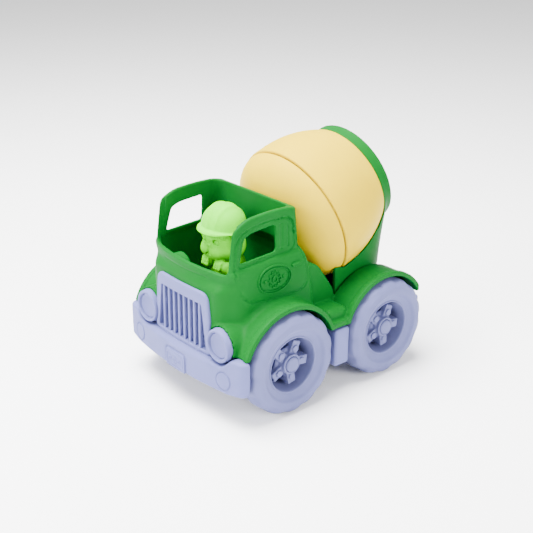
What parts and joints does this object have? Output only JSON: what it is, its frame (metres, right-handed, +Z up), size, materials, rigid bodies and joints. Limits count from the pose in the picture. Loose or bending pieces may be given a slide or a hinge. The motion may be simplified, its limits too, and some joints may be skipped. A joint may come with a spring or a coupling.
{
  "type": "toy cement mixer truck",
  "caption": "Chunky toy cement mixer: open-top cab with a removable builder figure, bowed bumper with slotted grille, dished wheels on turning axles, and a tipping, spinning barrel drum.",
  "frame": {"origin": "centre of the footprint on the ground, under the middle of the overall box", "axes": "+Z up, the truck's front faces -Y, +X is the truck's left side"},
  "size_m": [0.14, 0.1869, 0.1737],
  "materials": {
    "shell_green": "moulded, satin",
    "stand_green": "moulded, satin",
    "chassis_grey": "moulded, satin",
    "wheel_grey": "moulded, satin",
    "drum_yellow": "moulded, soft sheen",
    "figure_lime": "moulded, satin"
  },
  "bodies": {
    "chassis": {"chassis_frame": "chassis_grey", "front_bumper": "chassis_grey", "number_plate": "chassis_grey", "grille": "chassis_grey", "fog_lamp_left": "chassis_grey", "fog_lamp_right": "chassis_grey", "headlamp_left": "chassis_grey", "headlamp_right": "chassis_grey", "headlamp_lens_left": "chassis_grey", "headlamp_lens_right": "chassis_grey", "body_shell": "shell_green", "seat_block": "shell_green", "dash_hump": "shell_green", "door_badge_left": "shell_green", "door_badge_right": "shell_green", "door_handle_left": "shell_green", "door_handle_right": "shell_green", "hinge_lug_left": "shell_green", "hinge_lug_right": "shell_green"},
    "front_wheels": {"front_axle": "wheel_grey", "tyre_front_left": "wheel_grey", "tyre_front_right": "wheel_grey", "hub_front_left": "wheel_grey", "hub_front_right": "wheel_grey", "hub_cap_front_left": "wheel_grey", "hub_cap_front_right": "wheel_grey"},
    "rear_wheels": {"rear_axle": "wheel_grey", "tyre_rear_left": "wheel_grey", "tyre_rear_right": "wheel_grey", "hub_rear_left": "wheel_grey", "hub_rear_right": "wheel_grey", "hub_cap_rear_left": "wheel_grey", "hub_cap_rear_right": "wheel_grey"},
    "stand": {"drum_stand": "stand_green", "tip_hinge_pin": "stand_green"},
    "drum": {"drum_front_shell": "drum_yellow", "drum_rear_shell": "drum_yellow", "drum_mouth": "drum_yellow"},
    "driver": {"driver_figure": "figure_lime"}
  },
  "joints": [
    {"name": "front_axle_spin", "type": "hinge", "parent": "chassis", "child": "front_wheels", "pos_m": [0, -0.042, 0.037], "axis": [1, 0, 0], "continuous": true},
    {"name": "rear_axle_spin", "type": "hinge", "parent": "chassis", "child": "rear_wheels", "pos_m": [0, 0.05, 0.037], "axis": [1, 0, 0], "continuous": true},
    {"name": "drum_tip", "type": "hinge", "parent": "chassis", "child": "stand", "pos_m": [0, 0.072, 0.062], "axis": [-1, 0, 0], "range_deg": [0, 35]},
    {"name": "drum_spin", "type": "hinge", "parent": "stand", "child": "drum", "pos_m": [0, 0.0168, 0.115], "axis": [0, 0.9385, 0.3453], "continuous": true},
    {"name": "driver_lift", "type": "slide", "parent": "chassis", "child": "driver", "axis": [0, 0, 1], "range_m": [0, 0.09]}
  ]
}
